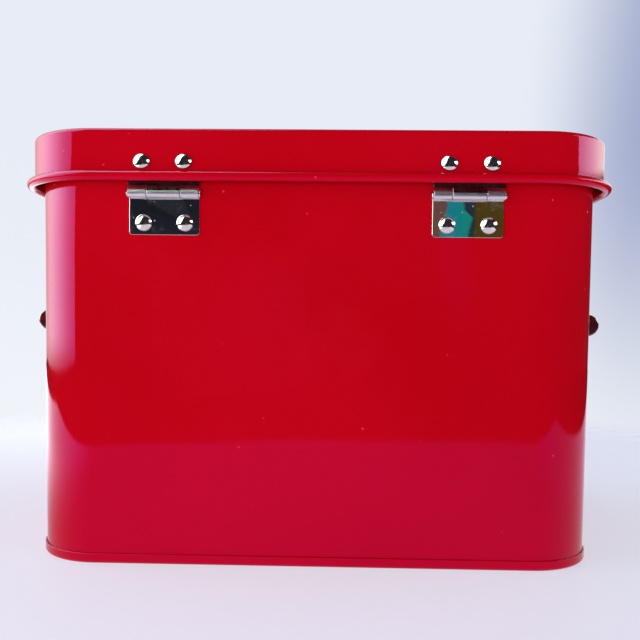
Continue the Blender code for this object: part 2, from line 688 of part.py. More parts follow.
def make_lid_tab(side, sx, steel, frame):
    """A bracket under the lid that carries the back of the tray."""
    y, z = TRAY_PIVOT.y, TRAY_PIVOT.z
    top = LID_TOP - SHEET - GAP
    outline = [(y + TAB_HALF, top), (y - TAB_HALF, top)]
    outline += arc((y, z), TAB_END, 180, 360, CURL_STEPS)
    ends = sorted(sx * x for x in TAB_X)
    plate = prism(outline, [circle((y, z), PIVOT_HOLE)], "X", *ends)
    tab = add_piece(f"lid_tab_{side}", plate, steel, frame)
    thickness = TAB_X[1] - TAB_X[0]
    ends = sorted((sx * (TAB_X[1] - TAB_FLANGE), sx * (TAB_X[0] + thickness / 2)))
    flange = box((ends[0], y - TAB_HALF, top - thickness), (ends[1], y + TAB_HALF, top))
    add_boolean(tab, "UNION", flange, frame)


def main():
    clear_scene()
    enamel = make_material("red_enamel", (0.46, 0.002, 0.012), 0.12, 0.0)
    steel = make_material("bright_steel", (0.78, 0.78, 0.80), 0.10, 1.0)
    tin = make_material("tinned_sheet", (0.62, 0.63, 0.65), 0.38, 1.0)
    wood = make_material("lacquered_wood", (0.10, 0.012, 0.012), 0.15, 0.0)

    body = make_frame("body_frame", (0.0, 0.0, 0.0))
    lid = make_frame("lid_frame", HINGE)
    tray = make_frame("tray_frame", TRAY_PIVOT)
    clip = make_frame("clip_frame", (0.0, FRONT - CLIP_OFFSET, CLIP_Z))

    make_body(enamel, body)
    make_lid(enamel, lid)
    make_tray(tin, steel, tray)
    make_clip(steel, body, clip)
    for side, sx in (("left", -1), ("right", 1)):
        make_hinge(side, sx * HINGE_X, steel, body, lid)
        arm = make_frame(f"arm_{side}_frame", (sx * ARM_X[0], ARM_PIVOT.y, ARM_PIVOT.z))
        make_arm(side, sx, steel, body, arm)
        make_lid_tab(side, sx, steel, lid)
        handle = make_frame(f"handle_{side}_frame", (sx * (SIDE + GRIP_OFFSET), 0.0, HANDLE_Z))
        make_handle_plate(side, sx, steel, body)
        make_handle_links(side, sx, steel, body, handle)
        make_grip(side, sx, wood, handle)


main()
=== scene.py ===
"""Fishing tackle box seen from its hinge side: the looks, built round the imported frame.
Metres, +Z up, hinges at +Y."""

import json
import math

import bmesh
import bpy
from mathutils import Matrix, Vector


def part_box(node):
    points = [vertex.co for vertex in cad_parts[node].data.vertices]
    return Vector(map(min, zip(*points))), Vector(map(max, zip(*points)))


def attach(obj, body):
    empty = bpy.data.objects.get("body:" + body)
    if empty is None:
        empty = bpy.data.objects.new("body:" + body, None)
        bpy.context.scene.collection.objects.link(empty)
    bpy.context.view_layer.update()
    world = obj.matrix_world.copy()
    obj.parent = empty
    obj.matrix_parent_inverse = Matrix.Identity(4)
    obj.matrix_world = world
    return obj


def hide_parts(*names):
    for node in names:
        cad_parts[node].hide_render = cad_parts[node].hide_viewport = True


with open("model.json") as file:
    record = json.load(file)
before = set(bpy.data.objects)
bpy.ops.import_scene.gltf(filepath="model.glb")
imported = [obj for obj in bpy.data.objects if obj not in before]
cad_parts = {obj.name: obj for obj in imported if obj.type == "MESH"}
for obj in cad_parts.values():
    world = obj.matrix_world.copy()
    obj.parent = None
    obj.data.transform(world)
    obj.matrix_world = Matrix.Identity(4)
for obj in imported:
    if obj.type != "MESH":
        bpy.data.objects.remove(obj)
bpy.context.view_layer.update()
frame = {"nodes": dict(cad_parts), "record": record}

# Sheet metal
SHEET = 0.0008
GAP = 0.0001
FLANGE = SHEET + GAP  # of the base outside the wall
CORNER = 0.032
PANEL_INSET = 0.012
SEAM_FOLD = 0.0012
RIM_CURL = 0.0011
RIM_ROLL = (180, -90)  # degrees, from the wall over to its inside
LID_OFFSET = 0.0042  # from the wall's outside to the middle of the lid's skirt
LID_EDGE = 0.0016
BEAD_CURL = 0.00185
BEAD_ROLL = (180, 480)  # degrees, from the skirt round under and up

# Hinges
LEAF_SHEET = 0.0009
KNUCKLE_CURL = 0.00195
KNUCKLE_MIDDLE = 0.0151
KNUCKLE_GAP = 0.0003
LID_LEAF_OFFSET = 0.00325
LID_LEAF_BEND = math.radians(20)
LEAF_CORNER = 0.0016
BODY_LEAF_ROLL = (180, -110)  # degrees, from the flat round the pin
LID_LEAF_ROLL_END = -270
ROLL_TOP_SHARE = 0.9  # of the knuckle's radius, where the lid leaf's drawn finish ends

# Heads: a share is of the head's radius, where nothing else is said
DOME_SHARE = 0.59
SIDE_DOME_SHARE = 0.53
CLIP_DOME_SHARE = 0.57
SHANK_SHARE = 0.41
HEAD_RIM_SHARE = 0.16  # of the head's height
TAIL = 0.0006
TAIL_FLARE = 0.001
LID_RIVET_TILT = math.radians(12)
TILT_SEAT_SHARE = 0.8  # a tilted head stays seated this far above its middle

# Pins: the shank as a share of the head, and the head's thickness
HINGE_SHANK = 0.68
HANDLE_SHANK = 0.59
CLIP_SHANK = 0.52
PIN_CAP = 0.0007

# Grips
GRIP_EASE = 0.0011
GROOVE_DEPTH = 0.0013
GROOVE_EASE = 0.0004

# Eased edges
SMOOTH_ANGLE = math.radians(35)
BEVEL_ANGLE = math.radians(40)
BASE_EASE = 0.00022
LEAF_EASE = 0.00024

# Fineness
CORNER_STEPS = 20
CURL_STEPS = 20
ROUND = 40
GRIP_ROUND = 48


# ---------------------------------------------------------------- mesh helpers


def add_piece(name, bm, material, body, replaced, bevel=0.0):
    """A piece drawn in the row frame, which stands for CAD nodes and rides on their body."""
    bmesh.ops.recalc_face_normals(bm, faces=bm.faces)
    mesh = bpy.data.meshes.new(name)
    bm.to_mesh(mesh)
    bm.free()
    mesh.shade_smooth()
    mesh.set_sharp_from_angle(angle=SMOOTH_ANGLE)
    mesh.materials.append(material)
    obj = bpy.data.objects.new(name, mesh)
    bpy.context.scene.collection.objects.link(obj)
    if bevel:
        add_bevel(obj, bevel)
    flatten_shading(obj)
    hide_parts(*replaced)
    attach(obj, body)
    return obj


def add_bevel(obj, width):
    modifier = obj.modifiers.new("Bevel", "BEVEL")
    modifier.width = width
    modifier.segments = 3
    modifier.limit_method = "ANGLE"
    modifier.angle_limit = BEVEL_ANGLE
    modifier.harden_normals = True


def flatten_shading(obj):
    """Large flats keep their own normal, and only the small faces beside them turn smoothly."""
    modifier = obj.modifiers.new("Normals", "WEIGHTED_NORMAL")
    modifier.keep_sharp = True
    modifier.weight = 100


def add_cut(obj, bm):
    """Cuts a helper mesh out of a piece, before any bevel."""
    bmesh.ops.recalc_face_normals(bm, faces=bm.faces)
    mesh = bpy.data.meshes.new(f"{obj.name}_cutter")
    bm.to_mesh(mesh)
    bm.free()
    cutter = bpy.data.objects.new(mesh.name, mesh)
    bpy.context.scene.collection.objects.link(cutter)
    modifier = obj.modifiers.new("Cut", "BOOLEAN")
    modifier.object = cutter
    bpy.context.view_layer.update()
    graph = bpy.context.evaluated_depsgraph_get()
    cut = bpy.data.meshes.new_from_object(obj.evaluated_get(graph))
    obj.modifiers.clear()
    obj.data = cut
    cut.shade_smooth()
    cut.set_sharp_from_angle(angle=SMOOTH_ANGLE)
    bpy.data.objects.remove(cutter, do_unlink=True)


def merge(meshes):
    """Several helper meshes as one."""
    whole = bmesh.new()
    for bm in meshes:
        copies = {vert: whole.verts.new(vert.co) for vert in bm.verts}
        for face in bm.faces:
            whole.faces.new([copies[vert] for vert in face.verts])
        bm.free()
    return whole


def arc(centre, radius, start, end, steps):
    """Points on an arc, from a start to an end in degrees."""
    angles = [math.radians(start + (end - start) * i / steps) for i in range(steps + 1)]
    return [(centre[0] + radius * math.cos(a), centre[1] + radius * math.sin(a)) for a in angles]


def sheet_sides(path, thickness):
    """The two faces of a sheet bent along a path, as lists of points on its left and right."""
    left, right = [], []
    for i, point in enumerate(path):
        before, after = path[max(i - 1, 0)], path[min(i + 1, len(path) - 1)]
        along = (Vector(after) - Vector(before)).normalized()
        across = Vector((-along.y, along.x)) * thickness / 2
        left.append(tuple(Vector(point) + across))
        right.append(tuple(Vector(point) - across))
    return left, right


def rounded_stations(half_x, y_front, y_back, r_front, r_back):
    """Corner centre, radius and angle of each point around a rounded rectangle."""
    corners = (
        (half_x - r_back, y_back - r_back, r_back, 0),
        (r_back - half_x, y_back - r_back, r_back, 90),
        (r_front - half_x, y_front + r_front, r_front, 180),
        (half_x - r_front, y_front + r_front, r_front, 270),
    )
    return [
        (x, y, radius, math.radians(start + 90 * i / CORNER_STEPS))
        for x, y, radius, start in corners
        for i in range(CORNER_STEPS + 1)
    ]


def sweep(stations, profile, capped):
    """A profile of (outward offset, height) points carried around the stations."""
    bm = bmesh.new()
    rings = [
        [
            bm.verts.new((x + (r + offset) * math.cos(a), y + (r + offset) * math.sin(a), z))
            for x, y, r, a in stations
        ]
        for offset, z in profile
    ]
    following = rings[1:] if capped else rings[1:] + rings[:1]
    for ring, other in zip(rings, following):
        for i in range(len(ring)):
            j = (i + 1) % len(ring)
            bm.faces.new((ring[i], ring[j], other[j], other[i]))
    if capped:
        bm.faces.new(rings[0])
        bm.faces.new(rings[-1])
    return bm


def pan(stations, path, thickness):
    """A pressed sheet: the path runs from the flat panel to the free edge."""
    left, right = sheet_sides(path, thickness)
    return sweep(stations, left + right[::-1], capped=True)


def bent_strip(path, thickness, low, high, corner=0.0):
    """A sheet bent along a path of (y, z) points, from low to high along X. Its first edge may
    have round corners."""
    left, right = sheet_sides(path, thickness)
    bm = bmesh.new()
    rows = []
    reach = 0.0
    for i, point in enumerate(path):
        if i:
            reach += (Vector(point) - Vector(path[i - 1])).length
        short = max(corner - reach, 0.0)
        inset = corner - math.sqrt(max(corner**2 - short**2, 0.0))
        a, b = low + inset, high - inset
        corners = ((left[i], a), (left[i], b), (right[i], b), (right[i], a))
        rows.append([bm.verts.new((x, *side)) for side, x in corners])
    for row, following in zip(rows, rows[1:]):
        for i in range(4):
            j = (i + 1) % 4
            bm.faces.new((row[i], row[j], following[j], following[i]))
    bm.faces.new(rows[0])
    bm.faces.new(rows[-1])
    return bm


def box_mesh(low, high):
    bm = bmesh.new()
    outline = ((low[0], low[1]), (high[0], low[1]), (high[0], high[1]), (low[0], high[1]))
    ends = [[bm.verts.new((x, y, z)) for x, y in outline] for z in (low[2], high[2])]
    bm.faces.new(ends[0])
    bm.faces.new(ends[1])
    for i in range(4):
        j = (i + 1) % 4
        bm.faces.new((ends[0][i], ends[0][j], ends[1][j], ends[1][i]))
    return bm


def turned(profile, base, axis, steps=ROUND):
    """A solid of revolution. The profile lists (radius, height along the axis) points, and starts
    and ends on the axis."""
    axis = Vector(axis)
    across = axis.orthogonal().normalized()
    other = axis.cross(across)
    bm = bmesh.new()
    rings = []
    for radius, height in profile:
        centre = Vector(base) + axis * height
        if radius == 0:
            rings.append([bm.verts.new(centre)])
            continue
        angles = [2 * math.pi * i / steps for i in range(steps)]
        ring = [centre + radius * (across * math.cos(a) + other * math.sin(a)) for a in angles]
        rings.append([bm.verts.new(point) for point in ring])
    for ring, following in zip(rings, rings[1:]):
        for i in range(steps):
            j = (i + 1) % steps
            corners = [ring[i % len(ring)], ring[j % len(ring)]]
            corners += [following[j % len(following)], following[i % len(following)]]
            bm.faces.new(list(dict.fromkeys(corners)))
    return bm


def axis_frame(node, axis):
    """A node's middle, half its length along an axis, and its radius across the axis."""
    low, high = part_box(node)
    index = max(range(3), key=lambda i: abs(axis[i]))
    others = [i for i in range(3) if i != index]
    middle = (low + high) / 2
    radius = max(high[i] - low[i] for i in others) / 2
    half = (high[index] - low[index]) / 2
    return middle, half, radius


def round_head(radius, low, height, steps=12):
    """Profile of a head that is part of a ball, with a short upright rim that is eased over."""
    rim = height * HEAD_RIM_SHARE
    ball = (radius**2 + (height - rim) ** 2) / (2 * (height - rim))
    edge = math.asin(min(radius / ball, 1.0))
    points = [(radius * 0.985, low), (radius, low + rim * 0.3), (radius, low + rim * 0.8)]
    for i in range(steps + 1):
        angle = edge * (1 - i / steps) * (0.97 if i == 0 else 1)
        points.append((ball * math.sin(angle), low + height - ball * (1 - math.cos(angle))))
    points[-1] = (0, low + height)
    return points


def add_rivet(node, axis, body, share=DOME_SHARE, tilt=0.0):
    """A domed rivet in place of the node. A tilt sets its head a little askew, facing up."""
    middle, half, radius = axis_frame(node, axis)
    height = radius * share
    head = half - height
    shank = radius * SHANK_SHARE
    tail = shank + TAIL_FLARE
    profile = [(0, -half), (tail * 0.9, -half), (tail, -half + TAIL / 2), (tail, -half + TAIL)]
    profile += [(shank, -half + TAIL), (shank, head)] + round_head(radius, head, height)
    piece = turned(profile, middle, axis)
    if tilt:
        seat = middle + Vector(axis) * head + Vector((0, 0, radius * TILT_SEAT_SHARE))
        turn = Matrix.Rotation(tilt, 3, "X")
        bmesh.ops.rotate(piece, verts=piece.verts, cent=seat, matrix=turn)
    add_piece(f"{node}_v", piece, domed_steel, body, [node])


def add_pin(node, axis, body, shank_share):
    """A plain pin with an eased round head at each end."""
    middle, half, radius = axis_frame(node, axis)
    shank = radius * shank_share
    ease = PIN_CAP * 0.45
    profile = [(0, half), (radius - ease * 1.6, half), (radius - ease * 0.4, half - ease * 0.45)]
    profile += [(radius, half - ease), (radius, half - PIN_CAP), (shank, half - PIN_CAP)]
    profile += [(r, -h) for r, h in reversed(profile)]
    piece = turned(profile, middle, axis)
    add_piece(f"{node}_v", piece, bright_steel, body, [node])


# ---------------------------------------------------------------- materials


class Nodes:
    """A short way to write a shader's nodes."""

    def __init__(self, tree):
        self.tree = tree

    def add(self, kind, **settings):
        node = self.tree.nodes.new(f"ShaderNode{kind}")
        for key, value in settings.items():
            setattr(node, key, value)
        return node

    def wire(self, value, socket):
        if isinstance(value, bpy.types.NodeSocket):
            self.tree.links.new(value, socket)
        else:
            socket.default_value = value

    def math(self, operation, a, b=0.0, c=0.0):
        node = self.add("Math", operation=operation)
        for value, socket in zip((a, b, c), node.inputs):
            self.wire(value, socket)
        return node.outputs[0]

    def ramp(self, value, low, high, to_low=0.0, to_high=1.0):
        node = self.add("MapRange", interpolation_type="SMOOTHSTEP")
        for item, socket in zip((value, low, high, to_low, to_high), node.inputs):
            self.wire(item, socket)
        return node.outputs[0]

    def mix(self, factor, a, b):
        node = self.add("Mix", data_type="RGBA")
        for value, socket in ((factor, node.inputs[0]), (a, node.inputs[6]), (b, node.inputs[7])):
            self.wire(value, socket)
        return node.outputs[2]

    def noise(self, vector, scale, detail=2.0, roughness=0.5):
        node = self.add("TexNoise")
        self.wire(vector, node.inputs["Vector"])
        node.inputs["Scale"].default_value = scale
        node.inputs["Detail"].default_value = detail
        node.inputs["Roughness"].default_value = roughness
        return node.outputs["Fac"]

    def place(self):
        return self.add("TexCoord").outputs["Object"]

    def stretched(self, vector, scale):
        node = self.add("Mapping")
        self.wire(vector, node.inputs["Vector"])
        node.inputs["Scale"].default_value = scale
        return node.outputs[0]

    def bump(self, height, strength, distance, normal=None):
        node = self.add("Bump")
        node.inputs["Strength"].default_value = strength
        node.inputs["Distance"].default_value = distance
        self.wire(height, node.inputs["Height"])
        if normal is not None:
            self.wire(normal, node.inputs["Normal"])
        return node.outputs[0]


def new_material(name):
    material = bpy.data.materials.new(name)
    material.use_nodes = True
    shader = material.node_tree.nodes["Principled BSDF"]
    return material, shader, Nodes(material.node_tree)


def specks(n, place, scale, size, share):
    """1 on a few small round specks, 0 elsewhere."""
    cells = n.add("TexVoronoi")
    n.wire(place, cells.inputs["Vector"])
    cells.inputs["Scale"].default_value = scale
    near = n.ramp(cells.outputs["Distance"], size * 0.5, size, 1.0, 0.0)
    pick = n.add("SeparateColor")
    n.wire(cells.outputs["Color"], pick.inputs[0])
    chosen = n.math("LESS_THAN", pick.outputs[0], share)
    return n.math("MULTIPLY", near, chosen)


ENAMEL_DEEP = (0.435, 0.0008, 0.0052, 1)
ENAMEL_FULL = (0.475, 0.0012, 0.0075, 1)
ENAMEL_DUST = (0.75, 0.12, 0.16, 1)
ENAMEL_SHEEN = (0.56, 0.10, 1.0, 1)  # the tint of what it mirrors


def make_enamel():
    """Glossy red over slightly wavy sheet, with a few specks of dust."""
    material, shader, n = new_material("red_enamel_gloss")
    place = n.place()
    drift = n.noise(place, 9.0, 3.0)
    colour = n.mix(n.ramp(drift, 0.3, 0.7), ENAMEL_DEEP, ENAMEL_FULL)
    dust = specks(n, place, 260.0, 0.16, 0.035)
    colour = n.mix(n.math("MULTIPLY", dust, 0.35), colour, ENAMEL_DUST)
    n.wire(colour, shader.inputs["Base Color"])
    smear = n.noise(n.stretched(place, (1.0, 1.0, 0.6)), 24.0, 4.0, 0.6)
    n.wire(n.ramp(smear, 0.35, 0.8, 0.035, 0.085), shader.inputs["Roughness"])
    shader.inputs["IOR"].default_value = 1.38
    shader.inputs["Specular Tint"].default_value = ENAMEL_SHEEN
    sheet_wave = n.bump(n.noise(place, 11.0, 1.0), 0.05, 0.006)
    peel = n.bump(n.noise(place, 900.0, 2.0), 0.03, 0.0002, sheet_wave)
    n.wire(n.bump(dust, 0.25, 0.0001, peel), shader.inputs["Normal"])
    return material


def scratches(n, place, angle, scale):
    """Fine hairlines that run across the sheet at an angle."""
    drawn = n.add("Mapping")
    n.wire(place, drawn.inputs["Vector"])
    drawn.inputs["Rotation"].default_value = (0.3, angle, 0.2)
    drawn.inputs["Scale"].default_value = (1.0, 0.6, 26.0)
    return n.noise(drawn.outputs[0], scale, 3.0, 0.65)


def make_steel():
    """Bright plating with hairlines, dust and smudges."""
    material, shader, n = new_material("bright_steel_plate")
    place = n.place()
    cloud = n.noise(place, 240.0, 4.0, 0.6)
    lines = n.math("MULTIPLY", scratches(n, place, 0.7, 90.0), scratches(n, place, -0.5, 70.0))
    dust = specks(n, place, 420.0, 0.20, 0.10)
    smudge = n.ramp(n.noise(place, 130.0, 5.0, 0.7), 0.54, 0.78, 0.0, 0.10)
    film = n.math("MAXIMUM", n.math("MULTIPLY", dust, 0.45), smudge)
    n.wire(n.math("SUBTRACT", 1.0, film), shader.inputs["Metallic"])
    colour = n.mix(n.ramp(cloud, 0.3, 0.7), (0.80, 0.79, 0.80, 1), (0.88, 0.87, 0.88, 1))
    n.wire(n.mix(film, colour, (0.42, 0.44, 0.48, 1)), shader.inputs["Base Color"])
    haze = n.math("ADD", n.ramp(cloud, 0.45, 0.8, 0.004, 0.02), n.ramp(lines, 0.34, 0.5, 0.0, 0.05))
    n.wire(haze, shader.inputs["Roughness"])
    n.wire(n.bump(lines, 0.05, 0.0001), shader.inputs["Normal"])
    return material


def make_domed_steel():
    """Plated heads: bright, with a thin haze that softens what they show."""
    material, shader, n = new_material("domed_steel")
    place = n.place()
    cloud = n.noise(place, 420.0, 3.0, 0.6)
    shader.inputs["Metallic"].default_value = 1.0
    colour = n.mix(n.ramp(cloud, 0.3, 0.7), (0.72, 0.70, 0.69, 1), (0.80, 0.78, 0.76, 1))
    n.wire(colour, shader.inputs["Base Color"])
    n.wire(n.ramp(cloud, 0.3, 0.8, 0.10, 0.18), shader.inputs["Roughness"])
    n.wire(n.bump(cloud, 0.06, 0.0001), shader.inputs["Normal"])
    return material


def make_painted_shade_steel():
    """The strip of a lid leaf under the bead: dull plating, darkened and tinted red as painted shade
    and a painted reflection of the bead's red.
    """
    material, shader, n = new_material("painted_shade_steel")
    grain = n.noise(n.place(), 300.0, 3.0, 0.6)
    shader.inputs["Metallic"].default_value = 1.0
    # Painted shade and painted reflection: a dark red-tinted colour stands in for the bead's shadow
    # and its red mirrored in the plating.
    n.wire(n.mix(grain, (0.10, 0.05, 0.06, 1), (0.24, 0.12, 0.14, 1)), shader.inputs["Base Color"])
    n.wire(n.ramp(grain, 0.3, 0.7, 0.22, 0.38), shader.inputs["Roughness"])
    return material


def make_rolled_steel():
    """The rolled knuckles, drawn along the hinge's axis."""
    material, shader, n = new_material("rolled_steel")
    place = n.place()
    grain = n.noise(n.stretched(place, (60.0, 900.0, 900.0)), 3.0, 3.0, 0.6)
    shader.inputs["Metallic"].default_value = 1.0
    n.wire(n.mix(grain, (0.70, 0.66, 0.74, 1), (0.88, 0.83, 0.91, 1)), shader.inputs["Base Color"])
    n.wire(n.ramp(grain, 0.3, 0.7, 0.36, 0.48), shader.inputs["Roughness"])
    n.wire(n.bump(grain, 0.15, 0.0001), shader.inputs["Normal"])
    return material


def make_tin():
    """Dull tinned sheet with its spangle."""
    material, shader, n = new_material("tinned_sheet_dull")
    place = n.place()
    spangle = n.add("TexVoronoi")
    n.wire(place, spangle.inputs["Vector"])
    spangle.inputs["Scale"].default_value = 140.0
    tone = n.add("SeparateColor")
    n.wire(spangle.outputs["Color"], tone.inputs[0])
    shader.inputs["Metallic"].default_value = 1.0
    colour = n.mix(tone.outputs[0], (0.55, 0.56, 0.58, 1), (0.66, 0.67, 0.69, 1))
    n.wire(colour, shader.inputs["Base Color"])
    n.wire(n.math("MULTIPLY_ADD", tone.outputs[1], 0.10, 0.30), shader.inputs["Roughness"])
    n.wire(n.bump(n.noise(place, 60.0, 3.0), 0.08, 0.001), shader.inputs["Normal"])
    return material


def make_wood():
    """Dark cherry along the grip, under lacquer."""
    material, shader, n = new_material("lacquered_cherry_wood")
    place = n.place()
    rings = n.noise(n.stretched(place, (260.0, 14.0, 260.0)), 2.0, 4.0, 0.6)
    pores = n.noise(n.stretched(place, (2200.0, 90.0, 2200.0)), 1.0, 2.0)
    colour = n.mix(n.ramp(rings, 0.3, 0.7), (0.045, 0.002, 0.005, 1), (0.115, 0.006, 0.010, 1))
    colour = n.mix(n.ramp(pores, 0.6, 0.75, 0.0, 0.5), colour, (0.02, 0.001, 0.002, 1))
    n.wire(colour, shader.inputs["Base Color"])
    n.wire(n.ramp(rings, 0.2, 0.8, 0.12, 0.22), shader.inputs["Roughness"])
    shader.inputs["Coat Weight"].default_value = 1.0
    shader.inputs["Coat Roughness"].default_value = 0.05
    n.wire(n.bump(pores, 0.05, 0.0001), shader.inputs["Normal"])
    return material


red_enamel = make_enamel()
bright_steel = make_steel()
domed_steel = make_domed_steel()
painted_shade_steel = make_painted_shade_steel()
rolled_steel = make_rolled_steel()
tinned_sheet = make_tin()
lacquered_wood = make_wood()


# ---------------------------------------------------------------- body and lid

BASE_LOW, BASE_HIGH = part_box("body_bottom")
SIDE, FRONT, BACK = BASE_HIGH.x - FLANGE, BASE_LOW.y + FLANGE, BASE_HIGH.y - FLANGE
HINGE_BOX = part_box("hinge_left_pin")
HINGE_AXIS = ((HINGE_BOX[0].y + HINGE_BOX[1].y) / 2, (HINGE_BOX[0].z + HINGE_BOX[1].z) / 2)


def make_body():
    """The wall with its curled rim, and the base with its edge folded up outside the wall."""
    around = rounded_stations(SIDE, FRONT, BACK, CORNER, CORNER)
    low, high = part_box("body_shell")
    middle = -SHEET / 2  # of the wall's sheet
    curl_centre = (middle + RIM_CURL, high.z - SHEET / 2 - RIM_CURL)
    wall = [(middle, low.z)] + arc(curl_centre, RIM_CURL, *RIM_ROLL, CURL_STEPS)
    outer, inner = sheet_sides(wall, SHEET)
    shell = sweep(around, outer + inner[::-1], capped=False)
    add_piece("body_wall", shell, red_enamel, "body", ["body_shell"])

    flange = GAP + SHEET / 2
    fold_centre = (flange - SEAM_FOLD, SHEET / 2 + SEAM_FOLD)
    path = [(-PANEL_INSET, SHEET / 2)] + arc(fold_centre, SEAM_FOLD, 270, 360, 8)
    path += [(flange, BASE_HIGH.z)]
    base = pan(around, path, SHEET)
    add_piece("body_base", base, red_enamel, "body", ["body_bottom"], BASE_EASE)


def make_lid():
    """The lid's panel and skirt, which end in a rolled bead."""
    around = rounded_stations(SIDE, FRONT, BACK, CORNER, CORNER)
    low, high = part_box("lid_shell")
    top = high.z - SHEET / 2
    bead_z = low.z + BEAD_CURL + SHEET / 2
    path = [(-PANEL_INSET, top)]
    path += arc((LID_OFFSET - LID_EDGE, top - LID_EDGE), LID_EDGE, 90, 0, 10)
    path += arc((LID_OFFSET + BEAD_CURL, bead_z), BEAD_CURL, *BEAD_ROLL, CURL_STEPS)
    add_piece("lid_skin", pan(around, path, SHEET), red_enamel, "lid", ["lid_shell"])


make_body()
make_lid()


# ---------------------------------------------------------------- hinges


KNUCKLE_RADIUS = KNUCKLE_CURL + LEAF_SHEET / 2


def paint_faces(piece, material, low, high):
    """The faces of a piece between two heights have another finish, or painted shade."""
    piece.data.materials.append(material)
    for face in piece.data.polygons:
        if low < face.center.z < high:
            face.material_index = len(piece.data.materials) - 1


def make_body_leaf(side):
    """The flat leaf outside the wall, rolled into the two outer knuckles."""
    name = f"hinge_{side}_body_leaf"
    low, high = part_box(name)
    flat = BACK + GAP + LEAF_SHEET / 2
    foot = [(flat, low.z + LEAF_CORNER * i / 8) for i in range(9)]
    path = foot + arc(HINGE_AXIS, KNUCKLE_CURL, *BODY_LEAF_ROLL, CURL_STEPS)
    leaf = bent_strip(path, LEAF_SHEET, low.x, high.x, LEAF_CORNER)
    piece = add_piece(f"{name}_v", leaf, bright_steel, "body", [name])
    x = (low.x + high.x) / 2
    notch = KNUCKLE_MIDDLE / 2 + KNUCKLE_GAP
    under = HINGE_AXIS[1] - KNUCKLE_RADIUS + KNUCKLE_GAP
    cut_low = (x - notch, BACK - KNUCKLE_RADIUS, under)
    cut_high = (x + notch, BACK + 3 * KNUCKLE_RADIUS, HINGE_AXIS[1] + 2 * KNUCKLE_RADIUS)
    add_cut(piece, box_mesh(cut_low, cut_high))
    add_bevel(piece, LEAF_EASE)
    paint_faces(piece, rolled_steel, under, high.z)


def make_lid_leaf(side):
    """The leaf inside the lid's skirt, bent out and rolled into the middle knuckle."""
    name = f"hinge_{side}_lid_leaf"
    low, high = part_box(f"hinge_{side}_body_leaf")
    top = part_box(name)[1].z
    flat = BACK + LID_LEAF_OFFSET
    bend = math.degrees(LID_LEAF_BEND)
    touch = arc(HINGE_AXIS, KNUCKLE_CURL, bend, bend, 1)[0]
    rise = (touch[0] - flat) / math.tan(LID_LEAF_BEND)
    path = [(flat, top), (flat, touch[1] + rise)]
    path += arc(HINGE_AXIS, KNUCKLE_CURL, bend, LID_LEAF_ROLL_END, CURL_STEPS)
    leaf = bent_strip(path, LEAF_SHEET, low.x, high.x)
    piece = add_piece(f"{name}_v", leaf, bright_steel, "lid", [name])
    x = (low.x + high.x) / 2
    shoulder = HINGE_AXIS[1] + KNUCKLE_RADIUS + 2 * KNUCKLE_GAP
    cuts = []
    for sx in (-1, 1):
        ends = sorted((x + sx * KNUCKLE_MIDDLE / 2, x + sx * (high.x - low.x)))
        cut_low = (ends[0], BACK - KNUCKLE_RADIUS, HINGE_AXIS[1] - 2 * KNUCKLE_RADIUS)
        cuts.append(box_mesh(cut_low, (ends[1], BACK + 3 * KNUCKLE_RADIUS, shoulder)))
    add_cut(piece, merge(cuts))
    add_bevel(piece, LEAF_EASE)
    roll_top = HINGE_AXIS[1] + KNUCKLE_RADIUS * ROLL_TOP_SHARE
    paint_faces(piece, rolled_steel, HINGE_AXIS[1] - KNUCKLE_RADIUS, roll_top)
    # Painted shade: the strip above the knuckle, under the bead, takes the darkened red-tinted steel.
    paint_faces(piece, painted_shade_steel, roll_top, top + LEAF_EASE)


def make_hinge(side):
    make_body_leaf(side)
    make_lid_leaf(side)
    add_pin(f"hinge_{side}_pin", (1, 0, 0), "body", HINGE_SHANK)
    for order in (1, 2):
        add_rivet(f"hinge_{side}_body_rivet_{order}", (0, 1, 0), "body")
        add_rivet(f"hinge_{side}_lid_rivet_{order}", (0, 1, 0), "lid", tilt=LID_RIVET_TILT)


for side in ("left", "right"):
    make_hinge(side)


# ---------------------------------------------------------------- handles


def make_grip(side):
    """A turned grip with a groove for each link and eased ends."""
    node = f"handle_{side}_grip"
    middle, half, radius = axis_frame(node, (0, 1, 0))
    neck = radius - GROOVE_DEPTH
    end_cap = [(0, -half)] + [
        (radius - GRIP_EASE + GRIP_EASE * math.sin(a), -half + GRIP_EASE - GRIP_EASE * math.cos(a))
        for a in (math.radians(15 * i) for i in range(7))
    ]
    profile = list(end_cap)
    for end in ("front", "back"):
        low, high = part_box(f"handle_{side}_{end}_link")
        near, far = low.y - KNUCKLE_GAP - middle.y, high.y + KNUCKLE_GAP - middle.y
        profile += [(radius, near - GROOVE_EASE), (radius - GROOVE_EASE, near), (neck, near)]
        profile += [(neck, far), (radius - GROOVE_EASE, far), (radius, far + GROOVE_EASE)]
    profile += [(r, -h) for r, h in reversed(end_cap)]
    grip = turned(profile, middle, (0, 1, 0), GRIP_ROUND)
    add_piece(f"{node}_v", grip, lacquered_wood, f"handle_{side}", [node])


def make_side(side, outward):
    """What one side carries: the grip, the handle's pins and rivets, and the tray arm's rivet."""
    make_grip(side)
    for order in (1, 2):
        add_rivet(f"handle_{side}_rivet_{order}", (outward, 0, 0), "body", SIDE_DOME_SHARE)
    for end in ("front", "back"):
        add_pin(f"handle_{side}_{end}_pin", (0, 1, 0), "body", HANDLE_SHANK)
    add_rivet(f"tray_arm_{side}_rivet", (outward, 0, 0), "body", SIDE_DOME_SHARE)


make_side("left", -1)
make_side("right", 1)


# ---------------------------------------------------------------- clip, and what stays CAD

add_pin("clip_pin", (1, 0, 0), "body", CLIP_SHANK)
for side in ("left", "right"):
    add_rivet(f"clip_rivet_{side}", (0, -1, 0), "body", CLIP_DOME_SHARE)

# The material of each slot, and the width of its eased edges
CAD_FINISH = {
    "bright_steel": (bright_steel, 0.0002),
    "tinned_sheet": (tinned_sheet, 0.00015),
    "lacquered_wood": (lacquered_wood, 0.0002),
    "red_enamel": (red_enamel, 0.0002),
}


